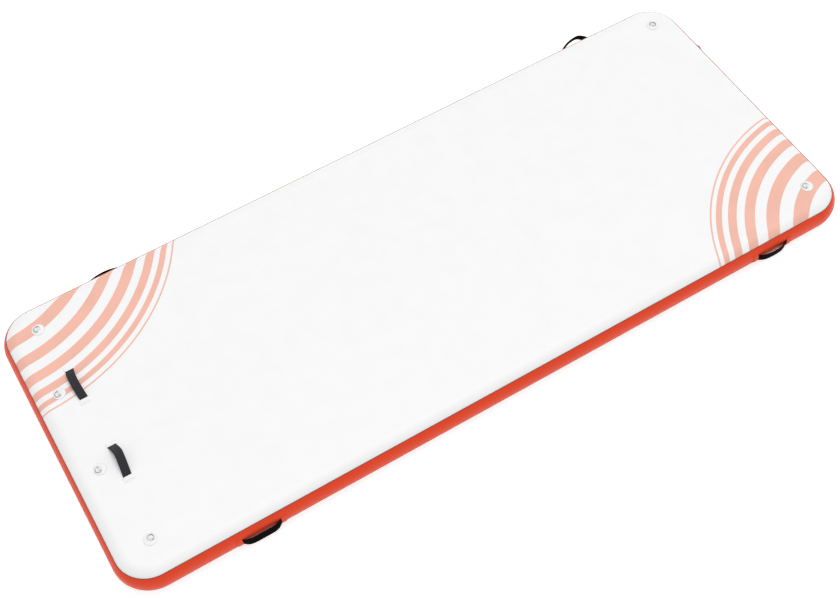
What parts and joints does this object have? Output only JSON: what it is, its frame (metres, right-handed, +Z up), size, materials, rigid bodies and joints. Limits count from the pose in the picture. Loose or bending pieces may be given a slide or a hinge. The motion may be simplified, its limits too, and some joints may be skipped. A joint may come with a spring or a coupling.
{
  "type": "inflatable dock platform",
  "caption": "Flat inflatable dock platform with a white drop-stitch deck, orange rounded side walls, webbing handles, swinging steel D-rings and an air valve in the end wall.",
  "frame": {"origin": "middle of the flat underside, on the surface that the platform rests on", "axes": "+X along the length, towards the end wall with the valve; +Y across the width; +Z up out of the deck"},
  "size_m": [3.6689, 1.5967, 0.1995],
  "materials": {
    "white_skin": "satin coated fabric",
    "orange_skin": "satin coated fabric",
    "white_patch": "satin coated fabric",
    "ring_strap": "woven webbing",
    "ring_steel": "polished stainless steel",
    "webbing": "woven webbing",
    "yarn": "twisted yarn",
    "valve_plastic": "moulded, fine grain",
    "valve_rubber": "matt",
    "valve_steel": "drawn wire"
  },
  "bodies": {
    "hull": {"deck_skin": "white_skin", "base_skin": "white_skin", "side_wall": "orange_skin", "yarn_row_1": "yarn", "yarn_row_2": "yarn", "yarn_row_3": "yarn", "yarn_row_4": "yarn", "yarn_row_5": "yarn", "yarn_row_6": "yarn", "yarn_row_7": "yarn", "d_ring_patch_left_back": "white_patch", "d_ring_strap_left_back": "ring_strap", "d_ring_patch_left_front": "white_patch", "d_ring_strap_left_front": "ring_strap", "d_ring_patch_right_front": "white_patch", "d_ring_strap_right_front": "ring_strap", "d_ring_patch_right_back": "white_patch", "d_ring_strap_right_back": "ring_strap", "d_ring_patch_end_back": "white_patch", "d_ring_strap_end_back": "ring_strap", "d_ring_patch_end_front": "white_patch", "d_ring_strap_end_front": "ring_strap", "deck_handle_back": "webbing", "deck_handle_patch_back_1": "white_patch", "deck_handle_patch_back_2": "white_patch", "deck_handle_front": "webbing", "deck_handle_patch_front_1": "white_patch", "deck_handle_patch_front_2": "white_patch", "side_handle_front_left": "webbing", "side_handle_patch_front_left_1": "orange_skin", "side_handle_patch_front_left_2": "orange_skin", "side_handle_front_right": "webbing", "side_handle_patch_front_right_1": "orange_skin", "side_handle_patch_front_right_2": "orange_skin", "side_handle_back_left": "webbing", "side_handle_patch_back_left_1": "orange_skin", "side_handle_patch_back_left_2": "orange_skin", "side_handle_back_right": "webbing", "side_handle_patch_back_right_1": "orange_skin", "side_handle_patch_back_right_2": "orange_skin", "valve_patch": "orange_skin", "valve_body": "valve_plastic", "valve_nut": "valve_plastic", "valve_spring": "valve_steel", "valve_cap_tether": "valve_rubber"},
    "ring_left_back": {"d_ring_left_back": "ring_steel"},
    "ring_left_front": {"d_ring_left_front": "ring_steel"},
    "ring_right_front": {"d_ring_right_front": "ring_steel"},
    "ring_right_back": {"d_ring_right_back": "ring_steel"},
    "ring_end_back": {"d_ring_end_back": "ring_steel"},
    "ring_end_front": {"d_ring_end_front": "ring_steel"},
    "valve_cap": {"valve_cap": "valve_plastic", "valve_cap_gasket": "valve_rubber"},
    "valve_stem": {"valve_stem": "valve_plastic", "valve_diaphragm": "valve_rubber"}
  },
  "joints": [
    {"name": "ring_left_back_swing", "type": "hinge", "parent": "hull", "child": "ring_left_back", "pos_m": [-1.653, 0.602, 0.1556], "axis": [0.7071, 0.7071, 0], "range_deg": [0, 180]},
    {"name": "ring_left_front_swing", "type": "hinge", "parent": "hull", "child": "ring_left_front", "pos_m": [-1.643, -0.584, 0.1556], "axis": [0.7071, -0.7071, 0], "range_deg": [0, 180]},
    {"name": "ring_right_front_swing", "type": "hinge", "parent": "hull", "child": "ring_right_front", "pos_m": [1.693, -0.598, 0.1556], "axis": [0.7071, 0.7071, 0], "range_deg": [0, 180]},
    {"name": "ring_right_back_swing", "type": "hinge", "parent": "hull", "child": "ring_right_back", "pos_m": [1.688, 0.609, 0.1556], "axis": [0.7071, -0.7071, 0], "range_deg": [0, 180]},
    {"name": "ring_end_back_swing", "type": "hinge", "parent": "hull", "child": "ring_end_back", "pos_m": [-1.698, 0.247, 0.1556], "axis": [0, 1, 0], "range_deg": [0, 180]},
    {"name": "ring_end_front_swing", "type": "hinge", "parent": "hull", "child": "ring_end_front", "pos_m": [-1.692, -0.183, 0.1556], "axis": [0, 1, 0], "range_deg": [0, 180]},
    {"name": "valve_cap_turn", "type": "hinge", "parent": "hull", "child": "valve_cap", "pos_m": [1.83, 0.4, 0.076], "axis": [1, 0, 0], "range_deg": [0, 90]},
    {"name": "valve_stem_push", "type": "slide", "parent": "hull", "child": "valve_stem", "axis": [-1, 0, 0], "range_m": [0, 0.005], "stiffness_N_per_m": 500, "springref_m": -0.002, "deforming": ["valve_spring"]}
  ]
}
